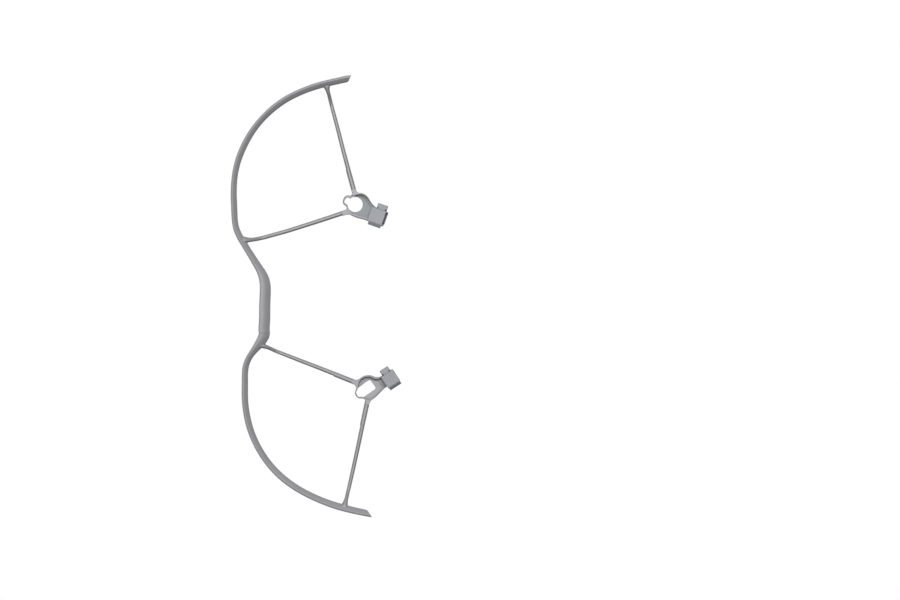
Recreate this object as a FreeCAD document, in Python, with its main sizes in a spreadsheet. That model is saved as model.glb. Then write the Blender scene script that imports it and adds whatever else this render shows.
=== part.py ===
"""Clip-on propeller guard for one side of a folding drone.

Two grey mouldings meet at a seam across the bridge bar. Each has a rim arc,
two spokes and a motor cradle. A hinged strap at each cradle closes over the
drone's arm. Millimetres, +Z up (the motor axis), +Y towards the drone's nose,
+X towards the drone's body. The origin is the bottom centre of the box.
"""
import FreeCAD, Part
import math
import os
import Sketcher
from FreeCAD import Placement, Rotation, Vector

os.makedirs("parts", exist_ok=True)
doc = FreeCAD.newDocument("propeller_guard")

# ---------------------------------------------------------------- dimensions
DIM = {
    # from the layout centre (midway between the two sides' guards) to the origin
    "datum_x": 142.675, "datum_y": -4.465,
    # rim and bridge bar
    "rim_base": 17.5, "rim_tall": 8.0, "bridge_tall": 9.4,
    # seam joint inside the bridge bar
    "tongue_wide": 4.4, "tongue_tall": 3.6, "tongue_long": 5.5, "tongue_gap": 0.1,
    "tongue_out": 1.5, "tongue_down": 1.7,
    # cradles
    "cradle_wall": 6.8, "cradle_floor": 1.6, "seat_depth": 0.35,
    "web_low": 0.8, "web_tall": 5.7, "slope_wide": 1.0, "slope_fall": 1.2,
    "front_x": -100.15, "front_y": 101.75, "front_turn": -19.45,
    "rear_x": -89.49, "rear_y": -93.76, "rear_turn": 33.0,
    "leg_hole_radius": 8.1, "front_draft": 14.0, "rear_draft": 11.5,
    # clamp, common
    "pin_radius": 0.8, "pin_run": 0.06, "pin_squeeze": 0.02,
    "knuckle_radius": 1.7, "knuckle_height": 2.5, "knuckle_gap": 0.35,
    "knuckle_end": 3.5, "strap_wall": 1.4, "strap_top": 18.6, "strap_roof": 1.7,
    "front_shoulder": 15.0, "rear_shoulder": 13.1, "leg_bottom": 7.2, "ledge_thick": 1.2, "tab_bottom": 15.3,
    "tab_thick": 1.6,
    "tongue_low": 2.6, "lug_low": 4.0, "lug_high": 6.3, "lug_reach": 1.3,
    "pad_thick": 1.2,
    # front clamp, in the cradle's own axes (x along the arm, y to the latch)
    "front_start": 17.05, "front_end": 32.7, "front_latch": 3.9,
    "front_roof_edge": -11.7, "front_band": -15.3,
    "front_band_start": 18.3, "front_band_end": 32.0,
    "front_tab_start": 21.6, "front_tab_end": 32.9, "front_tab_out": 9.75,
    "front_base_end": 32.9, "front_flange": 1.9,
    # rear clamp
    "rear_start": 19.95, "rear_end": 34.85, "rear_latch": 2.0,
    "rear_roof_edge": -12.2, "rear_band": -15.6,
    "rear_band_start": 20.7, "rear_band_end": 34.3,
    "rear_tab_start": 21.9, "rear_tab_end": 32.2, "rear_tab_out": 8.1,
    "rear_base_end": 34.0, "rear_flange": 0.7,
}

# Rim stations from the front tip to the rear tip: x, y, heading (degrees),
# width, and how far the section has turned from rim (0) to bridge bar (1).
FRONT_RIM = [
    (-104.60, 235.26, -172.16, 6.76, 0.000),
    (-117.63, 233.09, -168.16, 6.77, 0.000),
    (-130.51, 230.18, -166.68, 6.79, 0.000),
    (-143.27, 226.77, -162.69, 6.77, 0.000),
    (-155.70, 222.30, -157.56, 6.60, 0.000),
    (-167.72, 216.82, -152.75, 6.57, 0.000),
    (-179.11, 210.14, -146.33, 6.62, 0.000),
    (-189.58, 202.08, -139.31, 6.53, 0.000),
    (-199.10, 192.92, -132.55, 6.37, 0.000),
    (-207.55, 182.77, -126.16, 6.38, 0.000),
    (-214.70, 171.65, -120.09, 6.52, 0.000),
    (-220.62, 159.85, -113.99, 6.48, 0.000),
    (-225.24, 147.49, -106.35, 6.32, 0.000),
    (-228.18, 134.61, -98.89, 6.06, 0.000),
    (-229.53, 121.50, -93.10, 6.13, 0.000),
    (-229.65, 108.46, -89.28, 6.34, 0.000),
    (-229.10, 96.00, -87.81, 6.32, 0.000),
    (-228.53, 84.77, -84.11, 6.23, 0.000),
    (-226.65, 75.28, -71.52, 6.43, 0.000),
    (-223.15, 67.51, -61.47, 6.75, 0.000),
    (-219.04, 60.46, -58.68, 6.75, 0.006),
    (-214.56, 53.11, -58.54, 6.73, 0.050),
    (-209.76, 45.45, -58.57, 7.15, 0.156),
    (-205.35, 38.37, -57.88, 7.69, 0.316),
    (-201.13, 31.36, -63.00, 8.72, 0.555),
    (-197.67, 23.47, -74.24, 10.44, 0.845),
    (-196.20, 14.02, -85.78, 11.35, 0.999),
    (-196.43, 3.27, -91.11, 11.63, 1.000),
    (-196.81, -8.65, -90.83, 11.70, 1.000),
    (-196.96, -21.37, -90.84, 11.72, 1.000),
    (-197.17, -34.44, -91.00, 11.73, 1.000),
]
REAR_RIM = [
    (-197.17, -34.44, -91.00, 11.73, 1.000),
    (-198.90, -40.19, -116.27, 11.11, 0.843),
    (-201.74, -44.78, -125.33, 10.09, 0.591),
    (-204.93, -49.09, -127.93, 8.64, 0.292),
    (-208.57, -53.65, -128.22, 7.11, 0.081),
    (-212.57, -59.30, -122.92, 6.40, 0.000),
    (-216.12, -66.94, -106.90, 6.40, 0.000),
    (-217.75, -76.62, -94.60, 6.38, 0.000),
    (-217.91, -87.17, -89.99, 6.51, 0.000),
    (-217.96, -97.92, -89.49, 6.59, 0.000),
    (-217.53, -108.75, -85.57, 6.50, 0.000),
    (-216.12, -119.77, -80.42, 6.61, 0.000),
    (-213.69, -131.01, -74.79, 6.67, 0.000),
    (-210.03, -142.30, -68.91, 6.61, 0.000),
    (-205.04, -153.33, -62.93, 6.62, 0.000),
    (-198.89, -163.93, -57.05, 6.64, 0.000),
    (-191.65, -173.87, -50.79, 6.67, 0.000),
    (-183.33, -182.93, -44.16, 6.79, 0.000),
    (-174.06, -191.02, -38.17, 6.81, 0.000),
    (-164.02, -198.13, -32.70, 6.70, 0.000),
    (-153.36, -204.26, -27.62, 6.73, 0.000),
    (-142.26, -209.60, -23.56, 6.79, 0.000),
    (-130.86, -214.24, -20.23, 6.90, 0.000),
    (-119.17, -218.11, -16.67, 7.12, 0.000),
    (-107.29, -221.33, -13.63, 7.04, 0.000),
    (-95.28, -224.05, -11.61, 6.85, 0.000),
    (-83.21, -226.43, -10.93, 6.71, 0.000),
]

# Spoke stations from the cradle to the rim: x, y, z of the middle, heading,
# width, height. Each spoke runs low and level, then climbs to the rim. Three
# of them have a slightly wider root, with a small step where it ends.
SPOKES = {
    "front_upper_level": [
        (-100.59, 109.56, 3.50, 103.36, 4.93, 5.40),
        (-107.32, 133.85, 3.48, 104.15, 4.73, 5.25),
        (-113.81, 158.24, 3.45, 104.08, 4.52, 5.10),
        (-120.04, 182.70, 3.42, 103.53, 4.33, 4.95),
        (-126.51, 207.07, 3.40, 104.32, 4.07, 4.80),
    ],
    "front_upper_climb": [
        (-126.51, 207.07, 3.40, 104.32, 4.07, 4.80),
        (-127.18, 209.63, 4.15, 103.37, 4.04, 4.84),
        (-127.78, 212.22, 6.12, 102.05, 4.03, 4.96),
        (-128.33, 214.81, 8.91, 101.30, 4.04, 5.12),
        (-128.88, 217.34, 12.10, 102.26, 4.00, 5.30),
        (-129.49, 219.84, 15.29, 104.66, 3.98, 5.48),
        (-130.19, 222.36, 17.35, 104.80, 4.42, 5.64),
        (-130.84, 224.94, 19.05, 103.34, 5.77, 5.76),
        (-131.44, 227.51, 19.70, 102.85, 8.40, 5.80),
    ],
    "front_lower_level": [
        (-107.31, 95.74, 3.50, -161.48, 5.03, 5.40),
        (-130.09, 88.03, 3.48, -162.60, 4.75, 5.25),
        (-152.98, 80.59, 3.45, -162.78, 4.60, 5.10),
        (-175.96, 73.40, 3.42, -162.13, 4.51, 4.95),
        (-199.15, 67.05, 3.40, -165.12, 4.35, 4.80),
    ],
    "front_lower_climb": [
        (-199.15, 67.05, 3.40, -165.12, 4.35, 4.80),
        (-201.71, 66.45, 4.15, -164.82, 4.33, 4.84),
        (-204.28, 65.83, 6.12, -164.51, 4.34, 4.96),
        (-206.81, 65.23, 8.91, -165.73, 4.40, 5.12),
        (-209.33, 64.74, 12.10, -168.80, 4.44, 5.30),
        (-211.85, 64.43, 15.29, -173.21, 4.62, 5.48),
        (-214.44, 64.29, 17.35, -175.14, 5.43, 5.64),
        (-217.05, 64.07, 19.05, -175.25, 6.82, 5.76),
        (-219.66, 63.85, 19.70, -175.28, 9.00, 5.80),
    ],
    "rear_upper_level": [
        (-96.68, -88.86, 3.50, 153.74, 4.93, 5.40),
        (-118.05, -80.37, 3.48, 158.58, 4.67, 5.25),
        (-139.62, -71.85, 3.45, 159.16, 4.48, 5.10),
        (-161.23, -63.53, 3.42, 158.09, 4.32, 4.95),
        (-182.84, -55.13, 3.40, 158.27, 4.06, 4.80),
    ],
    "rear_upper_climb": [
        (-182.84, -55.13, 3.40, 158.27, 4.06, 4.80),
        (-185.25, -54.13, 4.15, 156.49, 4.04, 4.84),
        (-187.62, -53.05, 6.12, 153.95, 4.03, 4.96),
        (-189.95, -51.87, 8.91, 151.94, 4.05, 5.12),
        (-192.31, -50.67, 12.10, 154.09, 4.07, 5.30),
        (-194.73, -49.63, 15.29, 158.87, 4.29, 5.48),
        (-197.21, -48.72, 17.35, 158.59, 5.01, 5.64),
        (-199.63, -47.74, 19.05, 157.53, 6.05, 5.76),
        (-202.05, -46.73, 19.70, 157.18, 7.50, 5.80),
    ],
    "rear_lower_level": [
        (-87.66, -104.70, 3.50, -98.06, 5.03, 5.40),
        (-92.73, -128.23, 3.48, -101.22, 4.70, 5.25),
        (-97.66, -151.77, 3.45, -101.72, 4.50, 5.10),
        (-102.75, -175.30, 3.42, -101.10, 4.37, 4.95),
        (-107.98, -198.73, 3.40, -103.59, 4.07, 4.80),
    ],
    "rear_lower_climb": [
        (-107.98, -198.73, 3.40, -103.59, 4.07, 4.80),
        (-108.62, -201.30, 4.15, -102.91, 4.05, 4.84),
        (-109.24, -203.88, 6.12, -101.51, 4.03, 4.96),
        (-109.78, -206.50, 8.91, -99.82, 4.04, 5.12),
        (-110.28, -209.06, 12.10, -100.55, 4.05, 5.30),
        (-110.86, -211.53, 15.29, -103.52, 4.25, 5.48),
        (-111.54, -214.05, 17.35, -103.89, 5.19, 5.64),
        (-112.17, -216.61, 19.05, -103.43, 6.88, 5.76),
        (-112.78, -219.18, 19.70, -103.28, 9.40, 5.80),
    ],
    "front_upper_root": [
        (-100.84, 109.51, 3.50, 103.35, 5.38, 5.50),
        (-109.18, 139.81, 3.50, 104.14, 5.22, 5.50),
    ],
    "rear_upper_root": [
        (-96.80, -89.16, 3.50, 153.74, 5.38, 5.50),
        (-123.68, -78.45, 3.50, 158.37, 5.17, 5.50),
    ],
    "rear_lower_root": [
        (-87.95, -104.66, 3.50, -98.06, 5.38, 5.50),
        (-93.99, -132.94, 3.50, -101.34, 5.20, 5.50),
    ],
}

for name, stations in (("front", FRONT_RIM), ("rear", REAR_RIM)):
    for i, (x, y, turn, wide, _) in enumerate(stations):
        DIM["%s_rim_x_%02d" % (name, i)] = x
        DIM["%s_rim_y_%02d" % (name, i)] = y
        DIM["%s_rim_turn_%02d" % (name, i)] = turn
        DIM["%s_rim_wide_%02d" % (name, i)] = wide
for name, stations in SPOKES.items():
    for i, values in enumerate(stations):
        for key, value in zip(("x", "y", "z", "turn", "wide", "tall"), values):
            DIM["%s_%s_%02d" % (name, key, i)] = value

sizes = doc.addObject("Spreadsheet::Sheet", "sizes")
for row, (alias, value) in enumerate(DIM.items(), 1):
    sizes.set("A%d" % row, alias)
    sizes.set("B%d" % row, "%.4f" % value)
    sizes.setAlias("B%d" % row, alias)
doc.recompute()

# ------------------------------------------------------------------- helpers
def new_body(label):
    body = doc.addObject("PartDesign::Body", label)
    body.Label = label
    return body


def new_sketch(body, name, role, base, turn="0"):
    """A sketch on an origin plane. base and turn are expressions in world
    axes: the point that it passes through and its turn about +Z."""
    sk = body.newObject("Sketcher::SketchObject", name)
    plane = [f for f in body.Origin.OriginFeatures if f.Role == role][0]
    sk.AttachmentSupport = [(plane, "")]
    sk.MapMode = "FlatFace"
    bx, by, bz = base
    if role == "XY_Plane":
        order, axis = (bx, by, bz), Vector(0, 0, 1)
    elif role == "XZ_Plane":
        order, axis = (bx, bz, "-(%s)" % by), Vector(0, 1, 0)
    else:
        order, axis = (by, bz, bx), Vector(0, 1, 0)
    sk.AttachmentOffset = Placement(Vector(0, 0, 0), Rotation(axis, 1.0))
    for key, expression in zip("xyz", order):
        sk.setExpression("AttachmentOffset.Base." + key, expression)
    sk.setExpression("AttachmentOffset.Rotation.Angle", turn)
    return sk


def fix_point(sk, geo, pos, ux, uy, x, y):
    """Hold a point at (ux, uy); x and y are the expressions for its distances
    from the sketch's axes, without sign."""
    for kind, value, expression in (("DistanceX", ux, x), ("DistanceY", uy, y)):
        if abs(value) < 1e-9:
            continue
        if value > 0:
            con = Sketcher.Constraint(kind, -1, 1, geo, pos, abs(value))
        else:
            con = Sketcher.Constraint(kind, geo, pos, -1, 1, abs(value))
        index = sk.addConstraint(con)
        sk.setExpression("Constraints[%d]" % index, expression)


def polygon(sk, points, expressions=None):
    """Closed polygon; each corner's distances are bound to expressions."""
    n = len(points)
    lines = [Part.LineSegment(Vector(*points[i], 0), Vector(*points[(i + 1) % n], 0))
             for i in range(n)]
    first = sk.GeometryCount
    sk.addGeometry(lines, False)
    sk.addConstraint([Sketcher.Constraint("Coincident", first + i, 2, first + (i + 1) % n, 1)
                      for i in range(n)])
    if expressions:
        for i, ((ux, uy), (ex, ey)) in enumerate(zip(points, expressions)):
            fix_point(sk, first + i, 1, ux, uy, ex, ey)


def outline(sk, runs):
    """Closed outline of runs of points. A run of two points is a straight
    line, a longer one is a smooth curve through its points."""
    first = sk.GeometryCount
    ends = []
    for run in runs:
        if len(run) == 2:
            geo = Part.LineSegment(Vector(*run[0], 0), Vector(*run[1], 0))
        else:
            geo = Part.BSplineCurve()
            geo.interpolate([Vector(*p, 0) for p in run])
        ends.append(sk.addGeometry(geo, False))
    for a, b in zip(ends, ends[1:] + ends[:1]):
        sk.addConstraint(Sketcher.Constraint("Coincident", a, 2, b, 1))


def rectangle(sk, x0, x1, y0, y1):
    """Rectangle between four expressions, read from the sheet."""
    v = [read(e) for e in (x0, x1, y0, y1)]
    pts = [(v[0], v[2]), (v[1], v[2]), (v[1], v[3]), (v[0], v[3])]
    exs = [(x0, y0), (x1, y0), (x1, y1), (x0, y1)]
    polygon(sk, pts, [("abs(%s)" % a, "abs(%s)" % b) for a, b in exs])


def read(expression):
    """The value of an expression of sheet cells."""
    names = {k: v for k, v in DIM.items()}
    text = expression.replace("sizes.", "")
    total, sign, term = 0.0, 1.0, ""
    for token in text.replace("-", " - ").replace("+", " + ").split():
        if token == "-":
            sign = -1.0
        elif token == "+":
            sign = 1.0
        else:
            total += sign * (names[token] if token in names else float(token))
            sign = 1.0
    return total


def pad(body, sk, name, length):
    feature = body.newObject("PartDesign::Pad", name)
    feature.Profile = sk
    feature.setExpression("Length", length)
    sk.Visibility = False
    return feature


def cut(body, sk, name, length, taper=0.0):
    """A pocket that must remove material: its direction is turned if not."""
    doc.recompute()
    before = body.Shape.Volume
    feature = body.newObject("PartDesign::Pocket", name)
    feature.Profile = sk
    feature.setExpression("Length", length)
    if taper:
        feature.TaperAngle = taper
    doc.recompute()
    if body.Shape.Volume > before - 1e-3:
        feature.Reversed = True
        doc.recompute()
    if body.Shape.Volume > before - 1e-3:
        raise RuntimeError("%s removes nothing" % name)
    return feature


def loft(body, sketches, name, ruled=False):
    feature = body.newObject("PartDesign::AdditiveLoft", name)
    feature.Profile = sketches[0]
    feature.Sections = sketches[1:]
    feature.Ruled = ruled
    for sk in sketches:
        sk.Visibility = False
    return feature


# ----------------------------------------------------------------------- rim
# Corners as fractions of width (outwards) and height (upwards). The rim has a
# narrow crest at its outer third, a sloping outer band and a steep inner face;
# the bridge bar is broader with its crest nearer the middle.
RIM_SECTION = [(0.50, 0.25), (0.50, -0.32), (0.38, -0.50), (-0.34, -0.50), (-0.50, -0.38),
               (-0.47, -0.28), (-0.28, 0.04), (0.11, 0.45), (0.21, 0.50), (0.46, 0.34)]
BAR_SECTION = [(0.50, 0.22), (0.50, -0.38), (0.43, -0.50), (-0.42, -0.50), (-0.50, -0.42),
               (-0.43, -0.24), (-0.16, 0.20), (0.01, 0.40), (0.20, 0.50), (0.42, 0.46)]
SPOKE_SECTION = [(0.18, 0.50), (0.44, -0.06), (0.50, -0.26), (0.42, -0.50),
                 (-0.42, -0.50), (-0.50, -0.26), (-0.44, -0.06), (-0.18, 0.50)]


def rim_loft(body, name, stations):
    sketches = []
    for i, (_, _, _, wide, k) in enumerate(stations):
        tall_value = DIM["rim_tall"] + k * (DIM["bridge_tall"] - DIM["rim_tall"])
        tall = "(sizes.rim_tall + %.2f * (sizes.bridge_tall - sizes.rim_tall))" % k
        tag = "%s_rim_%%s_%02d" % (name, i)
        sk = new_sketch(body, "%s_rim_section_%02d" % (name, i), "XZ_Plane",
                        ("sizes.%s + sizes.datum_x" % (tag % "x"),
                         "sizes.%s + sizes.datum_y" % (tag % "y"),
                         "sizes.rim_base + 0.5 * %s" % tall),
                        "sizes.%s - 90" % (tag % "turn"))
        points, expressions = [], []
        for (ru, rv), (bu, bv) in zip(RIM_SECTION, BAR_SECTION):
            u, v = ru + k * (bu - ru), rv + k * (bv - rv)
            points.append((u * wide, v * tall_value))
            expressions.append(("%.4f * sizes.%s" % (abs(u), tag % "wide"),
                                "%.4f * %s" % (abs(v), tall)))
        polygon(sk, points, expressions)
        sketches.append(sk)
    return loft(body, sketches, name + "_rim")


def spoke_loft(body, name, ruled=False):
    sketches = []
    for i, (_, _, _, _, wide, tall) in enumerate(SPOKES[name]):
        tag = "sizes.%s_%%s_%02d" % (name, i)
        sk = new_sketch(body, "%s_section_%02d" % (name, i), "XZ_Plane",
                        (tag % "x" + " + sizes.datum_x", tag % "y" + " + sizes.datum_y",
                         tag % "z"), tag % "turn" + " - 90")
        polygon(sk, [(u * wide, v * tall) for u, v in SPOKE_SECTION],
                [("%.4f * %s" % (abs(u), tag % "wide"), "%.4f * %s" % (abs(v), tag % "tall"))
                 for u, v in SPOKE_SECTION])
        sketches.append(sk)
    return loft(body, sketches, name + "_spoke", ruled)


def spoke(body, name):
    if name + "_root" in SPOKES:
        spoke_loft(body, name + "_root", ruled=True)
    spoke_loft(body, name + "_level", ruled=True)
    spoke_loft(body, name + "_climb")


TIP_CUTS = {
    "front": [(-104.6, 240.6), (-106.0, 237.5), (-108.1, 232.8), (-108.9, 231.9),
              (-110.2, 231.2), (-113.0, 230.4), (-113.0, 227.0), (-97.0, 227.0), (-97.0, 240.6)],
    "rear": [(-82.8, -230.6), (-84.7, -227.7), (-87.4, -223.6), (-88.3, -222.6),
             (-89.6, -221.8), (-92.0, -221.0), (-92.0, -217.0), (-76.0, -217.0),
             (-76.0, -230.6)],
}


def tip_cut(body, side):
    """Slanted end of the rim, with its inner corner rounded off."""
    sk = new_sketch(body, side + "_tip_plan", "XY_Plane",
                    ("sizes.datum_x", "sizes.datum_y", "sizes.rim_base + sizes.rim_tall + 4"))
    polygon(sk, TIP_CUTS[side])
    cut(body, sk, side + "_tip", "sizes.rim_tall + 8")


# ------------------------------------------------------------------- cradles
# Plan outlines in each cradle's own axes: x along the arm towards the drone's
# body, y towards the latch.
CRADLES = {
    "front": {
        "outline": [(22.19, 3.58), (20.6, 4.59), (18.01, 5.51), (15.5, 6.79), (13.18, 8.47),
                    (11.03, 10.14), (8.81, 11.98), (6.29, 13.28), (3.52, 13.79), (0.63, 13.69),
                    (-2.34, 12.45), (-4.73, 10.56), (-6.66, 8.68), (-8.66, 7.43), (-10.94, 6.86),
                    (-13.05, 6.1), (-14.59, 4.47), (-15.15, 2.24), (-15.2, 0.06),
                    (-14.46, -2.45), (-12.95, -4.02), (-10.92, -4.64), (-9.2, -5.51),
                    (-8.13, -7.36), (-7, -9.9), (-5.01, -11.62), (-2, -12.31), (1.7, -12.7),
                    (5.9, -12.71), (10.1, -12.28), (14.3, -12.06), (17.61, -12.12)],
        "cup": [(19.6, 3.3), (18.2, 4.1), (14.1, 6.8), (9.7, 10), (7.2, 11.5), (4.9, 12.25),
                (2.8, 12.5), (0.75, 12.25), (-1.4, 11.3), (-3.4, 9.95), (-5, 8.6), (-4.6, -8.2),
                (-1.5, -10.2), (3, -10.1), (7.5, -9.9), (12.1, -9.6), (16.5, -9.2), (19.6, -9.1)],
        "seat": [(15.3, 2.6), (11.8, 5.4), (8.2, 8), (5, 9.7), (2.4, 10.2), (0.6, 9.6),
                 (-2, 7.4), (-2.8, 4.5), (-2.8, -2.6), (-0.6, -6.9), (4.6, -7.8), (10, -7.4),
                 (15.3, -7.1)],
        "leg_circle": (-1.57, 0.07),
        "leg_hole": [[(-4.61, 6.04), (-5.41, 5.12), (-6.64, 4.38), (-8.09, 3.93), (-9.6, 4.19),
                      (-11.07, 4.5), (-12.46, 3.84), (-13.22, 2.52), (-13.49, 1.02),
                      (-13.57, -0.35), (-13.08, -1.73), (-11.78, -2.37), (-10.28, -2.65),
                      (-8.96, -3.23), (-7.85, -4.28), (-6.93, -5.36), (-6.1, -6.27),
                      (-5.19, -7.28)],
                     [(-5.19, -7.28), (-4.61, 6.04)]],
        "webs": [[[(3.05, 12.62), (0.75, 13.28), (-0.81, 13.37), (-2.09, 13.17), (-3.34, 13.22),
                   (-4.59, 13.76), (-5.51, 14.79), (-6.2, 15.89)],
                  [(-6.2, 15.89), (-10.24, 13.24)],
                  [(-10.24, 13.24), (-9.3, 12.12), (-8.51, 10.86), (-8.24, 9.36), (-8.57, 7.97),
                   (-9.61, 7.11), (-11.1, 6.83)],
                  [(-11.1, 6.83), (3.05, 12.62)]],
                 [[(-11.04, -4.53), (-9.62, -5.11), (-8.76, -6.37), (-8.92, -7.81),
                   (-9.55, -8.99), (-10.56, -10.04), (-11.63, -10.92), (-12.45, -11.84)],
                  [(-12.45, -11.84), (-9.69, -15.91)],
                  [(-9.69, -15.91), (-8.79, -15.07), (-7.72, -14.22), (-6.5, -13.47),
                   (-5.21, -12.77), (-3.88, -12.35), (-2.41, -12.19), (-0.5, -12.25)],
                  [(-0.5, -12.25), (-11.04, -4.53)]]],
    },
    "rear": {
        "outline": [(21.75, 1.88), (20.38, 2.51), (19, 2.75), (17.71, 3.11), (16.48, 3.78),
                    (15.37, 4.61), (14.26, 5.66), (12.66, 7.86), (10.78, 9.88), (8.54, 11.38),
                    (5.96, 12.46), (3.22, 13.03), (0.35, 12.96), (-2.64, 11.78), (-5.49, 9.47),
                    (-7.83, 7.03), (-9.87, 5.17), (-11.88, 3.78), (-13.05, 2.27), (-13.58, 0.32),
                    (-13.42, -1.95), (-12.56, -4.11), (-11.03, -5.46), (-9.43, -6.62),
                    (-7.98, -8.25), (-6.4, -10.41), (-4.36, -12.23), (-2, -13.14), (1.5, -13.05),
                    (4.31, -12.78), (7.02, -12.3), (9.72, -11.6), (12.43, -11.03),
                    (15.21, -10.51), (18.01, -10.29)],
        "cup": [(19.2, 0.95), (16.4, 1.6), (13.6, 3.4), (11.65, 5.7), (10.4, 8), (8.8, 9.4),
                (6.7, 10.5), (4.4, 11.3), (1.95, 11.6), (-0.4, 11.3), (-2.8, 10.1), (-5, 8),
                (-6.6, 6), (-6.6, -8.2), (-4.4, -10.5), (-2.1, -11.5), (0.6, -11.9),
                (3.1, -11.8), (6.2, -11.3), (9.1, -10.6), (12.4, -9.5), (15.4, -9.2), (19.2, -9.2)],
        "seat": [(15.2, 0.2), (12, 2.4), (10.1, 5.4), (7.4, 7.7), (3.8, 8.8), (0, 8.4),
                 (-3, 6.8), (-4.9, 4.6), (-4.9, -6.4), (-2.8, -8.9), (0.4, -9.9), (4.8, -9.6),
                 (9.6, -8.5), (15.2, -7.5)],
        "leg_circle": None,
        "leg_hole": [[(-7.03, 5.38), (6.4, 6.01)],
                     [(6.4, 6.01), (7.8, 5.4), (8.29, 3.99)],
                     [(8.29, 3.99), (8.63, -3.2)],
                     [(8.63, -3.2), (8.23, -4.88), (6.48, -5.51)],
                     [(6.48, -5.51), (-6.6, -5.86)],
                     [(-6.6, -5.86), (-7.99, -5.68), (-8.91, -4.69), (-10.18, -3.92),
                      (-11.51, -3.19), (-12.07, -1.99), (-12.35, -0.61), (-12.02, 0.79),
                      (-11.78, 2.05), (-10.81, 3.2), (-9.51, 3.76), (-8.45, 4.59), (-7.03, 5.38)]],
        "webs": [[[(4.04, 12.51), (1.83, 12.98), (0.4, 12.92), (-0.98, 12.95), (-2.35, 13.18),
                   (-3.64, 13.62), (-4.89, 14.31), (-5.81, 15.32), (-6.36, 16.4)],
                  [(-6.36, 16.4), (-10.22, 13.84)],
                  [(-10.22, 13.84), (-9.83, 13.12), (-9.12, 11.97), (-8.64, 10.72),
                   (-8.47, 9.32), (-8.51, 7.88), (-8.92, 6.59), (-9.8, 5.54), (-10.76, 4.56)],
                  [(-10.76, 4.56), (4.04, 12.51)]],
                 [[(-10.6, -5.7), (-9.39, -6.69), (-8.35, -7.79), (-7.93, -9.27),
                   (-8.25, -10.84), (-9.16, -12.13), (-10.27, -13.05)],
                  [(-10.27, -13.05), (-7.04, -16.51)],
                  [(-7.04, -16.51), (-6.3, -15.44), (-5.16, -14.55), (-3.93, -13.93),
                   (-2.59, -13.52), (-1.29, -13.19), (0.09, -12.94), (2, -12.85)],
                  [(2, -12.85), (-10.6, -5.7)]]],
    },
}


def at_cradle(side, along=None, height="0"):
    """Expressions for a point on the cradle's arm axis."""
    x = "sizes.%s_x + sizes.datum_x" % side
    y = "sizes.%s_y + sizes.datum_y" % side
    if along:
        x += " + (%s) * cos(sizes.%s_turn)" % (along, side)
        y += " + (%s) * sin(sizes.%s_turn)" % (along, side)
    return (x, y, height)


def clamp_lines(side):
    """Expressions for the lines that a clamp is laid out from."""
    return {
        "start": "sizes.%s_start" % side, "end": "sizes.%s_end" % side,
        "band_start": "sizes.%s_band_start" % side, "band_end": "sizes.%s_band_end" % side,
        "base_end": "sizes.%s_base_end" % side,
        "latch": "sizes.%s_latch" % side, "band": "sizes.%s_band" % side,
        "axis": "sizes.%s_band + 1.7" % side,
        "wall_latch": "sizes.%s_latch - 0.3" % side,
        "wall_hinge": "sizes.%s_band + 3.8" % side,
        "inside_latch": "sizes.%s_latch - 1.5" % side,
        "inside_hinge": "sizes.%s_band + 4.9" % side,
    }


def inset(points, by):
    """The open outline's points moved inwards by a distance."""
    moved = []
    for i, (x, y) in enumerate(points):
        (ax, ay), (bx, by_) = points[max(i - 1, 0)], points[min(i + 1, len(points) - 1)]
        dx, dy = bx - ax, by_ - ay
        size = math.hypot(dx, dy)
        moved.append((x - dy / size * by, y + dx / size * by))
    return moved


def cradle_runs(points):
    """Closes a cradle's outline at its clamp end, short of the strap's knuckle."""
    last, first = points[-1], points[0]
    inner, corner, end = (21.3, last[1]), (23.0, last[1] + 2.0), (23.0, first[1])
    return [points, [last, inner], [inner, corner], [corner, end], [end, first]]


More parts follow.
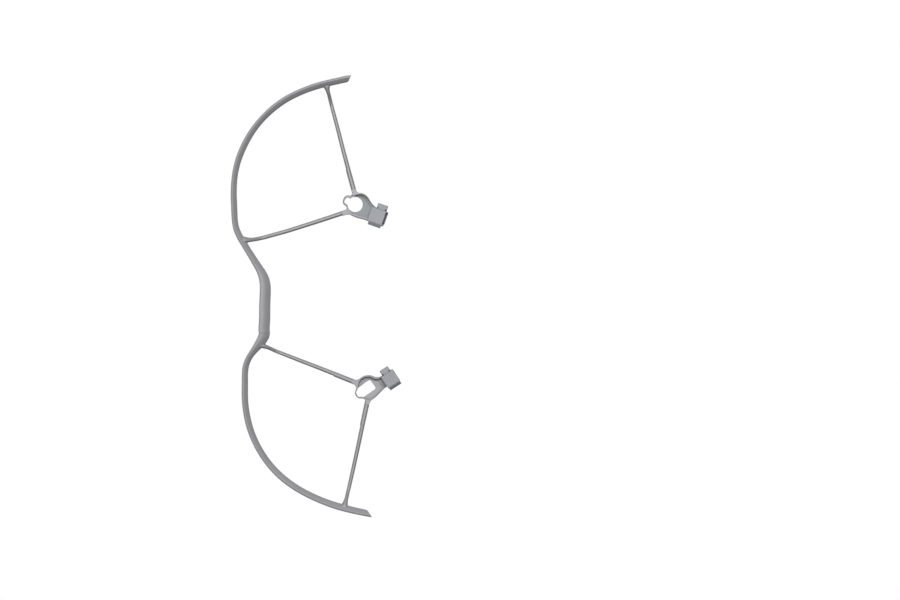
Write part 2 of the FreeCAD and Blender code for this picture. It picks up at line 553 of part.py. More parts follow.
def cradle(body, side):
    """Cup for the motor base with its arm channel, clamp base, hinge knuckles
    and latch lug."""
    turn = "sizes.%s_turn" % side
    shape = CRADLES[side]
    line = clamp_lines(side)

    sk = new_sketch(body, side + "_outline", "XY_Plane", at_cradle(side), turn)
    pts = shape["outline"]
    closed = cradle_runs(shape["outline"])
    outline(sk, closed)
    foot = "sizes.cradle_wall - sizes.slope_fall"
    pad(body, sk, side + "_cradle", foot)
    sections = []
    for tag, height, runs in (("foot", foot, closed),
                              ("crest", "sizes.cradle_wall",
                               cradle_runs(inset(shape["outline"], DIM["slope_wide"])))):
        sections.append(new_sketch(body, "%s_slope_%s" % (side, tag), "XY_Plane",
                                   at_cradle(side, None, height), turn))
        outline(sections[-1], runs)
    loft(body, sections, side + "_wall_slope", ruled=True)
    for tag, runs in zip(("upper", "lower"), shape["webs"]):
        sk = new_sketch(body, "%s_%s_web_plan" % (side, tag), "XY_Plane",
                        at_cradle(side, None, "sizes.web_low"), turn)
        outline(sk, runs)
        pad(body, sk, "%s_%s_web" % (side, tag), "sizes.web_tall")

    sk = new_sketch(body, side + "_base_plan", "XY_Plane", at_cradle(side), turn)
    rectangle(sk, line["start"], line["base_end"], line["wall_hinge"], line["wall_latch"])
    pad(body, sk, side + "_clamp_base", "sizes.cradle_wall")

    for tag, begin in (("a", line["band_start"]),
                       ("b", "sizes.%s_band_end - sizes.knuckle_end" % side)):
        sk = new_sketch(body, side + "_knuckle_web_" + tag, "YZ_Plane",
                        at_cradle(side, begin), turn)
        rectangle(sk, line["axis"], "%s + 0.6" % line["wall_hinge"],
                  "sizes.knuckle_height - sizes.knuckle_radius",
                  "sizes.knuckle_height + sizes.knuckle_radius")
        pad(body, sk, side + "_web_" + tag, "sizes.knuckle_end")
        sk = new_sketch(body, side + "_knuckle_round_" + tag, "YZ_Plane",
                        at_cradle(side, begin), turn)
        round_at(sk, line["axis"], "sizes.knuckle_height", "sizes.knuckle_radius")
        pad(body, sk, side + "_knuckle_" + tag, "sizes.knuckle_end")

    lug_start = "sizes.%s_tab_start + 1.55" % side
    sk = new_sketch(body, side + "_lug_side", "YZ_Plane", at_cradle(side, lug_start), turn)
    wall = line["wall_latch"]
    lug = [("%s - 0.5" % wall, "sizes.lug_low"), ("%s + sizes.lug_reach" % wall, "sizes.lug_low"),
           ("%s + sizes.lug_reach" % wall, "sizes.lug_low + 0.6"),
           ("%s + 0.45" % wall, "sizes.lug_high"), ("%s - 0.5" % wall, "sizes.lug_high")]
    polygon(sk, [(read(a), read(b)) for a, b in lug],
            [("abs(%s)" % a, "abs(%s)" % b) for a, b in lug])
    pad(body, sk, side + "_lug", "6.5")

    if side == "front":
        # the hinge-side wall runs on past the base, beside the pad's lip
        sk = new_sketch(body, side + "_ear_plan", "XY_Plane", at_cradle(side), turn)
        rectangle(sk, "%s - 0.5" % line["base_end"], "%s + 1.4" % line["base_end"],
                  "%s - 0.9" % line["wall_hinge"], line["inside_hinge"])
        pad(body, sk, side + "_ear", "sizes.cradle_wall")

    sk = new_sketch(body, side + "_channel_plan", "XY_Plane",
                    at_cradle(side, None, "sizes.cradle_wall"), turn)
    rectangle(sk, "17.5", line["base_end"] + " + 1", line["inside_hinge"], line["inside_latch"])
    cut(body, sk, side + "_channel", "sizes.cradle_wall - sizes.cradle_floor")

    sk = new_sketch(body, side + "_cup_plan", "XY_Plane",
                    at_cradle(side, None, "sizes.cradle_wall"), turn)
    polygon(sk, shape["cup"])
    cut(body, sk, side + "_cup", "sizes.cradle_wall - sizes.cradle_floor",
        taper=DIM[side + "_draft"])

    sk = new_sketch(body, side + "_seat_plan", "XY_Plane",
                    at_cradle(side, None, "sizes.cradle_floor"), turn)
    polygon(sk, shape["seat"])
    cut(body, sk, side + "_seat", "sizes.seat_depth")

    if shape["leg_circle"]:
        sk = new_sketch(body, side + "_leg_circle", "XY_Plane",
                        at_cradle(side, None, "sizes.cradle_wall + 1"), turn)
        x, y = shape["leg_circle"]
        round_at(sk, "%.2f" % x, "%.2f" % y, "sizes.leg_hole_radius")
        cut(body, sk, side + "_leg_bore", "sizes.cradle_wall + 2")
    sk = new_sketch(body, side + "_leg_plan", "XY_Plane",
                    at_cradle(side, None, "sizes.cradle_wall + 1"), turn)
    outline(sk, shape["leg_hole"])
    cut(body, sk, side + "_leg_hole", "sizes.cradle_wall + 2")

    sk = new_sketch(body, side + "_pin_hole_side", "YZ_Plane",
                    at_cradle(side, line["band_start"] + " - 1"), turn)
    round_at(sk, line["axis"], "sizes.knuckle_height", "sizes.pin_radius - sizes.pin_squeeze")
    hole = body.newObject("PartDesign::Pocket", side + "_pin_hole")
    hole.Profile = sk
    hole.setExpression("Length", "%s - %s + 2" % (line["band_end"], line["band_start"]))
    hole.Reversed = True
    sk.Visibility = False


def round_at(sk, x, y, radius):
    """Circle whose centre and radius are expressions."""
    cx, cy, r = read(x), read(y), read(radius)
    geo = sk.addGeometry(Part.Circle(Vector(cx, cy, 0), Vector(0, 0, 1), r), False)
    fix_point(sk, geo, 3, cx, cy, "abs(%s)" % x, "abs(%s)" % y)
    index = sk.addConstraint(Sketcher.Constraint("Radius", geo, r))
    sk.setExpression("Constraints[%d]" % index, radius)


# -------------------------------------------------------------------- frames
def seam_sketch(body, name, side, station, grow):
    tag = "%s_rim_%%s_%02d" % (side, station)
    sk = new_sketch(body, name, "XZ_Plane",
                    ("sizes.%s + sizes.datum_x" % (tag % "x"),
                     "sizes.%s + sizes.datum_y" % (tag % "y"),
                     "sizes.rim_base + 0.5 * sizes.bridge_tall"),
                    "sizes.%s - 90" % (tag % "turn"))
    w = DIM["tongue_wide"] / 2 + (DIM["tongue_gap"] if grow else 0)
    t = DIM["tongue_tall"] / 2 + (DIM["tongue_gap"] if grow else 0)
    extra = " + sizes.tongue_gap" if grow else ""
    ex, ey = "0.5 * sizes.tongue_wide" + extra, "0.5 * sizes.tongue_tall" + extra
    out, down = "sizes.tongue_out", "sizes.tongue_down"
    corners = [(-w, -t), (w, -t), (w, t), (-w, t)]
    polygon(sk, [(a + DIM["tongue_out"], b - DIM["tongue_down"]) for a, b in corners],
            [("abs(%s %s (%s))" % (out, "+" if a > 0 else "-", ex),
              "abs(%s (%s) - %s)" % ("" if b > 0 else "-", ey, down)) for a, b in corners])
    return sk


front_frame = new_body("front_frame")
rim_loft(front_frame, "front", FRONT_RIM)
tip_cut(front_frame, "front")
spoke(front_frame, "front_upper")
spoke(front_frame, "front_lower")
cradle(front_frame, "front")
sk = seam_sketch(front_frame, "seam_tongue_section", "front", len(FRONT_RIM) - 1, False)
tongue = pad(front_frame, sk, "seam_tongue", "sizes.tongue_long")
tongue.Reversed = True

rear_frame = new_body("rear_frame")
rim_loft(rear_frame, "rear", REAR_RIM)
tip_cut(rear_frame, "rear")
spoke(rear_frame, "rear_upper")
spoke(rear_frame, "rear_lower")
cradle(rear_frame, "rear")
sk = seam_sketch(rear_frame, "seam_socket_section", "rear", 0, True)
cut(rear_frame, sk, "seam_socket", "sizes.tongue_long + 0.3")


# ---------------------------------------------------------- straps, in place
def place_at_cradle(body, side):
    body.Placement = Placement(Vector(0, 0, 0), Rotation(Vector(0, 0, 1), 1.0))
    body.setExpression("Placement.Base.x", "sizes.%s_x + sizes.datum_x" % side)
    body.setExpression("Placement.Base.y", "sizes.%s_y + sizes.datum_y" % side)
    body.setExpression("Placement.Rotation.Angle", "sizes.%s_turn" % side)


def strap(side):
    """Closed strap: hinge knuckle, sloping shoulder, roof, latch side with a
    T-shaped finger tab and the tongue that goes down over the lug."""
    body = new_body(side + "_strap")
    place_at_cradle(body, side)
    line = clamp_lines(side)
    band, latch, edge = line["band"], line["latch"], "sizes.%s_roof_edge" % side
    top, roof, wall = "sizes.strap_top", "sizes.strap_roof", "sizes.strap_wall"
    shoulder = "sizes.%s_shoulder" % side

    sk = new_sketch(body, side + "_strap_side", "YZ_Plane", (line["start"], "0", "0"))
    corners = [
        (band, "4.6"), (band, shoulder), (edge + " - 0.3", top + " - 0.3"),
        (edge + " + 0.7", top),
        (latch + " - 1.6", top), (latch + " - 0.5", top + " - 0.4"), (latch, top + " - 1.6"),
        (latch, "sizes.leg_bottom"), (latch + " - " + wall, "sizes.leg_bottom"),
        (latch + " - " + wall, top + " - " + roof + " - 0.8"),
        (latch + " - " + wall + " - 0.8", top + " - " + roof),
        (edge + " + 0.9", top + " - " + roof),
        (band + " + " + wall, shoulder + " - 0.5"), (band + " + " + wall, "4.6"),
    ]
    polygon(sk, [(read(a), read(b)) for a, b in corners],
            [("abs(%s)" % a, "abs(%s)" % b) for a, b in corners])
    pad(body, sk, side + "_strap_shell", line["end"] + " - " + line["start"])

    # the hinge band is narrower than the roof, and the rear roof's inboard
    # edge bulges a little
    for tag, x0, x1 in (("a", line["start"] + " - 1", line["band_start"]),
                        ("b", line["band_end"], line["end"] + " + 1")):
        sk = new_sketch(body, "%s_strap_band_end_%s" % (side, tag), "XY_Plane",
                        ("0", "0", top + " + 1"))
        rectangle(sk, x0, x1, band + " - 1", edge + " - 0.2")
        cut(body, sk, "%s_strap_band_trim_%s" % (side, tag), top)
    if side == "rear":
        x1, y0, y1 = read(line["end"]), read(edge) - 0.2, read(latch)
        sk = new_sketch(body, side + "_strap_bulge", "XY_Plane", ("0", "0", top + " + 1"))
        outline(sk, [[(x1 - 0.55, y0 - 0.6), (x1 - 0.2, y0 + 2.5), (x1 - 0.02, -5.4),
                      (x1 - 0.25, y1 - 2.6), (x1 - 0.8, y1 + 0.6)],
                     [(x1 - 0.8, y1 + 0.6), (x1 + 1.5, y1 + 0.6)],
                     [(x1 + 1.5, y1 + 0.6), (x1 + 1.5, y0 - 0.6)],
                     [(x1 + 1.5, y0 - 0.6), (x1 - 0.55, y0 - 0.6)]])
        cut(body, sk, side + "_strap_bulge_trim", top)

    begin = line["band_start"] + " + sizes.knuckle_end + sizes.knuckle_gap"
    length = (line["band_end"] + " - " + line["band_start"]
              + " - 2 * (sizes.knuckle_end + sizes.knuckle_gap)")
    sk = new_sketch(body, side + "_strap_web_side", "YZ_Plane", (begin, "0", "0"))
    rectangle(sk, band, band + " + " + wall, "sizes.knuckle_height", "5")
    pad(body, sk, side + "_strap_web", length)
    sk = new_sketch(body, side + "_strap_knuckle_side", "YZ_Plane", (begin, "0", "0"))
    round_at(sk, line["axis"], "sizes.knuckle_height", "sizes.knuckle_radius")
    pad(body, sk, side + "_strap_knuckle", length)

    # finger tab: a T in plan, just below the roof, its neck joined to the latch
    # side; its upper edges slope
    t0, t1 = "sizes.%s_tab_start" % side, "sizes.%s_tab_end" % side
    out = "sizes.%s_tab_out" % side
    corners = [
        (t0 + " + 1.35", latch + " - 0.5"), (t1 + " - 1.35", latch + " - 0.5"),
        (t1 + " - 1.35", latch + " + 1.4"), (t1, latch + " + 1.4"), (t1, out + " - 0.5"),
        (t1 + " - 0.5", out), (t0 + " + 0.5", out), (t0, out + " - 0.5"),
        (t0, latch + " + 1.4"), (t0 + " + 1.35", latch + " + 1.4"),
    ]
    sk = new_sketch(body, side + "_tab_plan", "XY_Plane", ("0", "0", "sizes.tab_bottom"))
    polygon(sk, [(read(a), read(b)) for a, b in corners],
            [("abs(%s)" % a, "abs(%s)" % b) for a, b in corners])
    pad(body, sk, side + "_tab", "sizes.tab_thick - 0.9")
    upper = [
        (t0 + " + 1.8", latch + " - 0.5"), (t1 + " - 1.8", latch + " - 0.5"),
        (t1 + " - 1.8", latch + " + 1.7"), (t1 + " - 0.6", latch + " + 1.7"),
        (t1 + " - 0.6", out + " - 0.9"), (t0 + " + 0.6", out + " - 0.9"),
        (t0 + " + 0.6", latch + " + 1.7"), (t0 + " + 1.8", latch + " + 1.7"),
    ]
    sk = new_sketch(body, side + "_tab_top_plan", "XY_Plane",
                    ("0", "0", "sizes.tab_bottom + 0.6"))
    polygon(sk, [(read(a), read(b)) for a, b in upper],
            [("abs(%s)" % a, "abs(%s)" % b) for a, b in upper])
    pad(body, sk, side + "_tab_top", "sizes.tab_thick - 0.6")

    # ledge at the foot of the latch side, with the tongue that goes over the lug
    wall_latch = line["wall_latch"]
    inner = wall_latch + " + 1.7"
    ledge = "sizes.leg_bottom + sizes.ledge_thick"
    sk = new_sketch(body, side + "_tongue_side", "YZ_Plane", (t0 + " + 1.35", "0", "0"))
    corners = [(latch + " - 0.5", "sizes.leg_bottom"), (inner, "sizes.leg_bottom"),
               (inner, "sizes.tongue_low"), (inner + " + 1.2", "sizes.tongue_low"),
               (inner + " + 1.2", ledge), (latch + " - 0.5", ledge)]
    polygon(sk, [(read(a), read(b)) for a, b in corners],
            [("abs(%s)" % a, "abs(%s)" % b) for a, b in corners])
    pad(body, sk, side + "_tongue", t1 + " - " + t0 + " - 2.7")
    sk = new_sketch(body, side + "_ledge_plan", "XY_Plane", ("0", "0", "sizes.leg_bottom"))
    rectangle(sk, t0 + " - 0.2", t1 + " - 0.2", latch + " - 0.5", inner + " + 1.2")
    pad(body, sk, side + "_ledge", "sizes.ledge_thick")
    if side == "rear":
        # the latch side is thicker beside the tab, at the inboard corner
        sk = new_sketch(body, side + "_corner_plan", "XY_Plane", ("0", "0", "sizes.leg_bottom"))
        rectangle(sk, t1 + " - 0.1", line["end"] + " - 0.8", latch + " - 0.8", latch + " + 0.75")
        pad(body, sk, side + "_corner", top + " - sizes.leg_bottom - 0.7")

    sk = new_sketch(body, side + "_strap_pin_hole_side", "YZ_Plane",
                    (line["band_start"] + " - 1", "0", "0"))
    round_at(sk, line["axis"], "sizes.knuckle_height", "sizes.pin_radius + sizes.pin_run")
    hole = body.newObject("PartDesign::Pocket", side + "_strap_pin_hole")
    hole.Profile = sk
    hole.setExpression("Length", line["band_end"] + " - " + line["band_start"] + " + 2")
    hole.Reversed = True
    sk.Visibility = False
    return body


def arm_pad(side):
    """Rubber pad on the channel floor, ribbed across, with a lip over the
    inboard end of the clamp base."""
    body = new_body(side + "_arm_pad")
    place_at_cradle(body, side)
    line = clamp_lines(side)
    sk = new_sketch(body, side + "_pad_plan", "XY_Plane", ("0", "0", "sizes.cradle_floor"))
    rectangle(sk, line["start"] + " + 1", line["base_end"] + " + 0.4",
              line["inside_hinge"] + " + 0.15", line["inside_latch"] + " - 0.15")
    pad(body, sk, side + "_pad_sheet", "sizes.pad_thick")
    sk = new_sketch(body, side + "_lip_side", "YZ_Plane", (line["base_end"], "0", "0"))
    a, b = line["inside_hinge"] + " + 0.15", line["inside_latch"] + " - 0.15"
    level = "sizes.cradle_floor + sizes.pad_thick"
    lip = [(line["wall_latch"], "0.5"), (line["wall_latch"], "6.2"), (b, "6.2"), (b, level)]
    if side == "front":
        lip += [(a, level), (a, "0.5")]
    else:
        lip += [(a, level), (a, "6.2"), (line["wall_hinge"], "6.2"), (line["wall_hinge"], "0.5")]
    polygon(sk, [(read(u), read(v)) for u, v in lip],
            [("abs(%s)" % u, "abs(%s)" % v) for u, v in lip])
    pad(body, sk, side + "_lip", "sizes.%s_flange" % side)
    sk = new_sketch(body, side + "_rib_side", "XZ_Plane",
                    ("0", line["inside_latch"] + " - 0.9", "sizes.cradle_floor + sizes.pad_thick"))
    x0 = read(line["band_start"]) + 2.2
    polygon(sk, [(x0, -0.3), (x0 + 0.9, -0.3), (x0 + 0.9, 0.4), (x0 + 0.1, 0.4)])
    rib = pad(body, sk, side + "_rib",
              line["inside_latch"] + " - " + line["inside_hinge"].replace(" + 4.9", "")
              + " - 6.7")
    doc.recompute()
    rows = body.newObject("PartDesign::LinearPattern", side + "_ribs")
    rows.Originals = [rib]
    rows.Direction = ([f for f in body.Origin.OriginFeatures if f.Role == "X_Axis"][0], [""])
    rows.Length = 9.0
    rows.Occurrences = 6
    body.Tip = rows
    return body


def hinge_pin(side):
    line = clamp_lines(side)
    pin = doc.addObject("Part::Cylinder", side + "_hinge_pin")
    pin.Label = side + "_hinge_pin"
    pin.setExpression("Radius", "sizes.pin_radius")
    pin.setExpression("Height", line["band_end"] + " - " + line["band_start"] + " - 0.4")
    turn = Rotation(Vector(0, 0, 1), DIM[side + "_turn"])
    local = Vector(read(line["band_start"]) + 0.2, read(line["axis"]), DIM["knuckle_height"])
    origin = Vector(DIM[side + "_x"] + DIM["datum_x"], DIM[side + "_y"] + DIM["datum_y"], 0)
    pin.Placement = Placement(origin + turn.multVec(local),
                              turn.multiply(Rotation(Vector(0, 1, 0), 90)))
    return pin


parts = [front_frame, rear_frame]
for side in ("front", "rear"):
    parts += [strap(side), hinge_pin(side), arm_pad(side)]

# -------------------------------------------------------------------- output
doc.recompute()
bad = [o.Name for o in doc.Objects if "Invalid" in o.State or "Error" in o.State]
if bad:
    raise RuntimeError("failed objects: %s" % bad)
for part in parts:
    shape = part.Shape
    if shape.isNull() or not shape.isValid() or len(shape.Solids) != 1:
        raise RuntimeError("%s: bad shape (%d solids)" % (part.Label, len(shape.Solids)))
    box = shape.BoundBox
    print("%-16s volume %9.2f mm3  box %.2f..%.2f  %.2f..%.2f  %.2f..%.2f" % (
        part.Label, shape.Volume, box.XMin, box.XMax, box.YMin, box.YMax, box.ZMin, box.ZMax))
for part in parts:
    part.Shape.exportStep("parts/%s.step" % part.Label)
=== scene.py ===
"""Studio scene for the clip-on propeller guard: finishes, light, floor, camera.

Metres, in the guard's own frame: +Z up, +Y to the nose, +X to the body.
"""
import math

import bpy
from mathutils import Matrix, Vector


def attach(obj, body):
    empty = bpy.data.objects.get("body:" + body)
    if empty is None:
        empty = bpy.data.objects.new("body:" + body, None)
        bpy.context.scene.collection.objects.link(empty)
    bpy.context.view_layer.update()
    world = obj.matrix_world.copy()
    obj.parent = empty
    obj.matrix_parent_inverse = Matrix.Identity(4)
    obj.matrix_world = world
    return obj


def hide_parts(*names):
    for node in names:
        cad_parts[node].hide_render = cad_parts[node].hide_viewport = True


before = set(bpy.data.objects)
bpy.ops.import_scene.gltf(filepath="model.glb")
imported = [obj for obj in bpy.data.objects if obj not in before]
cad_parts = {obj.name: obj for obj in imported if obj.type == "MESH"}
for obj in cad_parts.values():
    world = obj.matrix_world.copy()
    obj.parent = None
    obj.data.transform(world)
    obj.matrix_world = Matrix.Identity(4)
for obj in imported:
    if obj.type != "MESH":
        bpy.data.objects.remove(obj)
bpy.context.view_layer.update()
scene = bpy.context.scene

# -------------------------------------------------------------------- camera
# Straight down, far away, on the point midway between a pair of guards.
camera = bpy.data.objects.new("camera", bpy.data.cameras.new("camera"))
scene.collection.objects.link(camera)
camera.data.type = "PERSP"
camera.data.sensor_width = 36.0
camera.data.lens = 135.0
camera.location = (0.142142, -0.003932, 3.59775)
camera.rotation_euler = (0.0, 0.0, 0.0)
camera.data.clip_start = 0.05
camera.data.clip_end = 60.0
scene.camera = camera


# ------------------------------------------------------------------ materials
def new_material(name):
    mat = bpy.data.materials.new(name)
    mat.use_nodes = True
    nodes = mat.node_tree.nodes
    shader = nodes["Principled BSDF"]
    return mat, nodes, mat.node_tree.links, shader


def noise(nodes, links, coords, scale, detail, rough=0.55):
    n = nodes.new("ShaderNodeTexNoise")
    n.inputs["Scale"].default_value = scale
    n.inputs["Detail"].default_value = detail
    n.inputs["Roughness"].default_value = rough
    links.new(coords.outputs["Object"], n.inputs["Vector"])
    return n


def remap(nodes, links, source, low, high):
    r = nodes.new("ShaderNodeMapRange")
    r.inputs["From Min"].default_value = 0.3
    r.inputs["From Max"].default_value = 0.7
    r.inputs["To Min"].default_value = low
    r.inputs["To Max"].default_value = high
    links.new(source, r.inputs["Value"])
    return r.outputs["Result"]


def painted_crevice_shade(nodes, links, colour, reach=0.0032, floor=0.42):
    """Painted shade: an ambient-occlusion node darkens the colour in corners and
    narrow gaps, where shadow falls, over the last few millimetres."""
    shade = nodes.new("ShaderNodeAmbientOcclusion")
    shade.samples = 12
    shade.inputs["Distance"].default_value = reach
    level = nodes.new("ShaderNodeMapRange")
    level.inputs["From Min"].default_value = 0.30
    level.inputs["From Max"].default_value = 0.92
    level.inputs["To Min"].default_value = floor
    level.inputs["To Max"].default_value = 1.0
    links.new(shade.outputs["AO"], level.inputs["Value"])
    mix = nodes.new("ShaderNodeMix")
    mix.data_type = "RGBA"
    mix.blend_type = "MULTIPLY"
    mix.inputs["Factor"].default_value = 1.0
    links.new(colour, mix.inputs[6])
    links.new(level.outputs["Result"], mix.inputs[7])
    return mix.outputs[2]


def seat_tint(nodes, links, coords, colour, tint):
    """The front cup's floor, 0.3 to 2.6 mm above the underside, is darker and
    cooler than the rest of the front half."""
    place = nodes.new("ShaderNodeSeparateXYZ")
    links.new(coords.outputs["Object"], place.inputs["Vector"])
    share = None
    for axis, start, end in (("Z", 0.0003, 0.0008), ("Z", 0.0026, 0.0018), ("Y", 0.0, 0.001)):
        edge = nodes.new("ShaderNodeMapRange")
        edge.inputs["From Min"].default_value = start
        edge.inputs["From Max"].default_value = end
        links.new(place.outputs[axis], edge.inputs["Value"])
        if share is None:
            share = edge.outputs["Result"]
            continue
        both = nodes.new("ShaderNodeMath")
        both.operation = "MULTIPLY"
        links.new(share, both.inputs[0])
        links.new(edge.outputs["Result"], both.inputs[1])
        share = both.outputs["Value"]
    mix = nodes.new("ShaderNodeMix")
    mix.data_type = "RGBA"
    links.new(share, mix.inputs["Factor"])
    links.new(colour, mix.inputs[6])
    mix.inputs[7].default_value = (*tint, 1.0)
    return mix.outputs[2]


def moulded(name, dark, light, rough, grain, specular=0.45, seat=None):
    """Satin moulded plastic: an eroded mould's fine grain, faint flow clouds in
    the colour and a slightly uneven sheen."""
    mat, nodes, links, shader = new_material(name)
    coords = nodes.new("ShaderNodeTexCoord")
    cloud = noise(nodes, links, coords, 45.0, 3.0)
    ramp = nodes.new("ShaderNodeValToRGB")
    ramp.color_ramp.elements[0].position = 0.3
    ramp.color_ramp.elements[0].color = (*dark, 1.0)
    ramp.color_ramp.elements[1].position = 0.7
    ramp.color_ramp.elements[1].color = (*light, 1.0)
    links.new(cloud.outputs["Fac"], ramp.inputs["Fac"])
    colour = ramp.outputs["Color"]
    if seat:
        colour = seat_tint(nodes, links, coords, colour, seat)
    # painted shade: ambient occlusion darkens the colour in corners and narrow gaps
    crevice_shaded_colour = painted_crevice_shade(nodes, links, colour)
    links.new(crevice_shaded_colour, shader.inputs["Base Color"])
    sheen = noise(nodes, links, coords, 900.0, 2.0)
    links.new(remap(nodes, links, sheen.outputs["Fac"], rough - 0.05, rough + 0.05),
              shader.inputs["Roughness"])
    fine = noise(nodes, links, coords, 4200.0, 2.0, 0.6)
    bump = nodes.new("ShaderNodeBump")
    bump.inputs["Strength"].default_value = grain
    bump.inputs["Distance"].default_value = 0.00006
    links.new(fine.outputs["Fac"], bump.inputs["Height"])
    links.new(bump.outputs["Normal"], shader.inputs["Normal"])
    shader.inputs["Specular IOR Level"].default_value = specular
    return mat


def rubber():
    mat, nodes, links, shader = new_material("pad_rubber")
    coords = nodes.new("ShaderNodeTexCoord")
    cloud = noise(nodes, links, coords, 600.0, 4.0)
    ramp = nodes.new("ShaderNodeValToRGB")
    ramp.color_ramp.elements[0].position = 0.3
    ramp.color_ramp.elements[0].color = (0.110, 0.110, 0.114, 1.0)
    ramp.color_ramp.elements[1].position = 0.7
    ramp.color_ramp.elements[1].color = (0.161, 0.161, 0.167, 1.0)
    links.new(cloud.outputs["Fac"], ramp.inputs["Fac"])
    links.new(ramp.outputs["Color"], shader.inputs["Base Color"])
    fine = noise(nodes, links, coords, 3000.0, 3.0, 0.7)
    bump = nodes.new("ShaderNodeBump")
    bump.inputs["Strength"].default_value = 0.5
    bump.inputs["Distance"].default_value = 0.00008
    links.new(fine.outputs["Fac"], bump.inputs["Height"])
    links.new(bump.outputs["Normal"], shader.inputs["Normal"])
    shader.inputs["Roughness"].default_value = 0.78
    shader.inputs["Specular IOR Level"].default_value = 0.35
    return mat


def steel():
    mat, nodes, links, shader = new_material("pin_steel")
    coords = nodes.new("ShaderNodeTexCoord")
    marks = noise(nodes, links, coords, 5000.0, 2.0)
    links.new(remap(nodes, links, marks.outputs["Fac"], 0.22, 0.36), shader.inputs["Roughness"])
    ramp = nodes.new("ShaderNodeValToRGB")
    ramp.color_ramp.elements[0].position = 0.3
    ramp.color_ramp.elements[0].color = (0.42, 0.42, 0.43, 1.0)
    ramp.color_ramp.elements[1].position = 0.7
    ramp.color_ramp.elements[1].color = (0.56, 0.56, 0.57, 1.0)
    links.new(marks.outputs["Fac"], ramp.inputs["Fac"])
    links.new(ramp.outputs["Color"], shader.inputs["Base Color"])
    shader.inputs["Metallic"].default_value = 1.0
    return mat


FRAME = moulded("frame_plastic", (0.215, 0.212, 0.221), (0.232, 0.229, 0.238), 0.50, 0.30,
                seat=(0.146, 0.155, 0.165))
STRAP = moulded("strap_plastic", (0.191, 0.199, 0.213), (0.208, 0.217, 0.232), 0.62, 0.26)
RUBBER = rubber()
STEEL = steel()
FINISH = {"frame_plastic": FRAME, "strap_plastic": STRAP, "pad_rubber": RUBBER,
          "pin_steel": STEEL}
NODE_SLOT = {
    "front_frame": "frame_plastic", "rear_frame": "frame_plastic",
    "front_strap": "strap_plastic", "rear_strap": "strap_plastic",
    "front_hinge_pin": "pin_steel", "rear_hinge_pin": "pin_steel",
    "front_arm_pad": "pad_rubber", "rear_arm_pad": "pad_rubber",
}


def paint(obj, material):
    if not obj.data.materials:
        obj.data.materials.append(material)
    for slot in obj.material_slots:
        slot.material = material


for name, slot in NODE_SLOT.items():
    paint(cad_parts[name], FINISH[slot])


# ------------------------------------------------------------ moulded pieces
def soften(node, body, voxel, passes, triangles, turn=0.0):
    """The CAD node's own shape as one closed skin, with the small radii that a
    mould leaves on every edge and in every corner. The skin's grid lies along
    the piece's own axes, turned about +Z."""
    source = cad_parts[node]
    work = bpy.data.objects.new(node + "_work", source.data.copy())
    spin = Matrix.Rotation(math.radians(turn), 4, "Z")
    work.data.transform(spin.inverted())
    scene.collection.objects.link(work)
    weld = work.modifiers.new("weld", "WELD")
    weld.merge_threshold = 1e-6
    skin = work.modifiers.new("skin", "REMESH")
    skin.mode = "VOXEL"
    skin.voxel_size = voxel
    skin.adaptivity = 0.0
    smooth = work.modifiers.new("smooth", "SMOOTH")
    smooth.factor = 0.5
    smooth.iterations = passes
    count = len(bpy.data.meshes.new_from_object(
        work.evaluated_get(bpy.context.evaluated_depsgraph_get())).polygons)
    thin = work.modifiers.new("thin", "DECIMATE")
    thin.ratio = min(1.0, triangles / (2.0 * count))
    mesh = bpy.data.meshes.new_from_object(
        work.evaluated_get(bpy.context.evaluated_depsgraph_get()))
    mesh.name = node + "_skin"
    mesh.transform(spin)
    mesh.polygons.foreach_set("use_smooth", [True] * len(mesh.polygons))
    bpy.data.objects.remove(work)
    piece = bpy.data.objects.new(node + "_skin", mesh)
    scene.collection.objects.link(piece)
    mesh.materials.clear()
    mesh.materials.append(FINISH[NODE_SLOT[node]])
    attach(piece, body)
    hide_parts(node)
    return piece


soften("front_frame", "guard", 0.00017, 16, 190000)
soften("rear_frame", "guard", 0.00017, 16, 190000)
soften("front_strap", "front_strap", 0.00013, 10, 130000, -19.45)
soften("rear_strap", "rear_strap", 0.00013, 10, 130000, 33.0)
soften("front_arm_pad", "guard", 0.00012, 5, 60000, -19.45)
soften("rear_arm_pad", "guard", 0.00012, 5, 60000, 33.0)


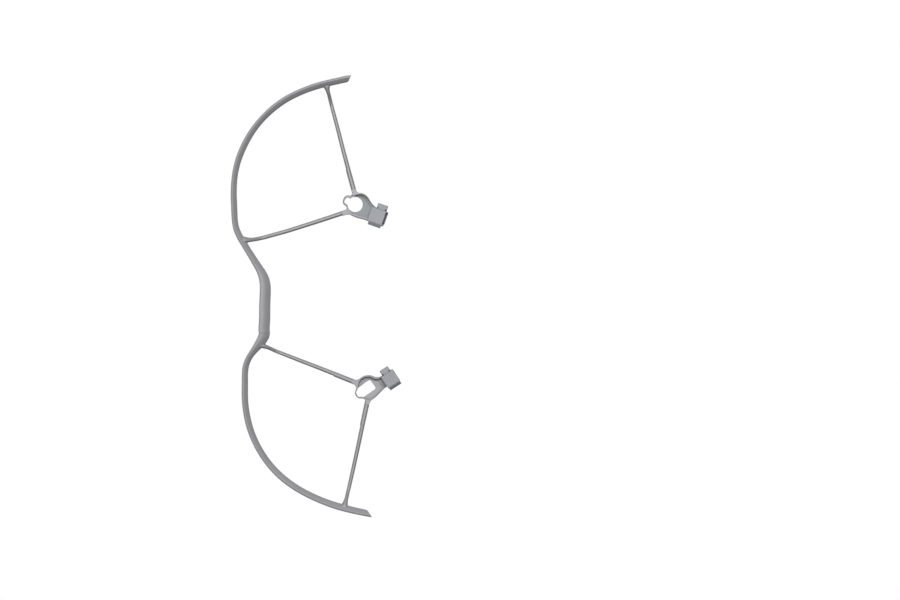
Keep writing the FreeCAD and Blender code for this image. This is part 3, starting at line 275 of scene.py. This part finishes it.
# ---------------------------------------------------------------------- stage
def white_floor():
    """A lit white table: the camera sees it evenly white and without shadows, as
    in a packshot; what it throws back on the guard is held down, as flags do."""
    mat, nodes, links, shader = new_material("studio_floor")
    shader.inputs["Base Color"].default_value = (0.0, 0.0, 0.0, 1.0)
    shader.inputs["Roughness"].default_value = 0.9
    shader.inputs["Specular IOR Level"].default_value = 0.0
    shader.inputs["Emission Color"].default_value = (1.0, 1.0, 1.0, 1.0)
    shader.inputs["Emission Strength"].default_value = 1.0
    dim = nodes.new("ShaderNodeBsdfDiffuse")
    dim.inputs["Color"].default_value = (0.30, 0.30, 0.30, 1.0)
    path = nodes.new("ShaderNodeLightPath")
    mix = nodes.new("ShaderNodeMixShader")
    links.new(path.outputs["Is Camera Ray"], mix.inputs["Fac"])
    links.new(dim.outputs["BSDF"], mix.inputs[1])
    links.new(shader.outputs["BSDF"], mix.inputs[2])
    links.new(mix.outputs["Shader"], nodes["Material Output"].inputs["Surface"])
    return mat


mesh = bpy.data.meshes.new("studio_floor")
half = 14.0
mesh.from_pydata([(-half, -half, -0.0002), (half, -half, -0.0002), (half, half, -0.0002),
                  (-half, half, -0.0002)], [], [(0, 1, 2, 3)])
floor = bpy.data.objects.new("studio_floor", mesh)
scene.collection.objects.link(floor)
floor.data.materials.append(white_floor())


# ---------------------------------------------------------------------- light
def area_light(name, place, aim, size, watts):
    light = bpy.data.lights.new(name, "AREA")
    light.shape = "DISK"
    light.size = size
    light.energy = watts
    lamp = bpy.data.objects.new(name, light)
    scene.collection.objects.link(lamp)
    lamp.location = place
    lamp.rotation_mode = "QUATERNION"
    lamp.rotation_quaternion = (Vector(aim) - Vector(place)).to_track_quat("-Z", "Y")
    lamp.visible_camera = False
    return lamp


area_light("overhead_softbox", (0.0, 1.5, 4.7), (0.0, 0.0, 0.0), 2.8, 352.0)

world = bpy.data.worlds.new("studio")
scene.world = world
world.use_nodes = True
nodes, links = world.node_tree.nodes, world.node_tree.links
nodes.clear()
output = nodes.new("ShaderNodeOutputWorld")
fill = nodes.new("ShaderNodeBackground")
fill.inputs["Color"].default_value = (0.96, 0.98, 1.0, 1.0)
fill.inputs["Strength"].default_value = 0.22
wall = nodes.new("ShaderNodeBackground")
wall.inputs["Color"].default_value = (1.0, 1.0, 1.0, 1.0)
wall.inputs["Strength"].default_value = 0.95
path = nodes.new("ShaderNodeLightPath")
mix = nodes.new("ShaderNodeMixShader")
links.new(path.outputs["Is Camera Ray"], mix.inputs["Fac"])
links.new(fill.outputs["Background"], mix.inputs[1])
links.new(wall.outputs["Background"], mix.inputs[2])
links.new(mix.outputs["Shader"], output.inputs["Surface"])

scene.view_settings.view_transform = "Standard"
scene.view_settings.look = "None"
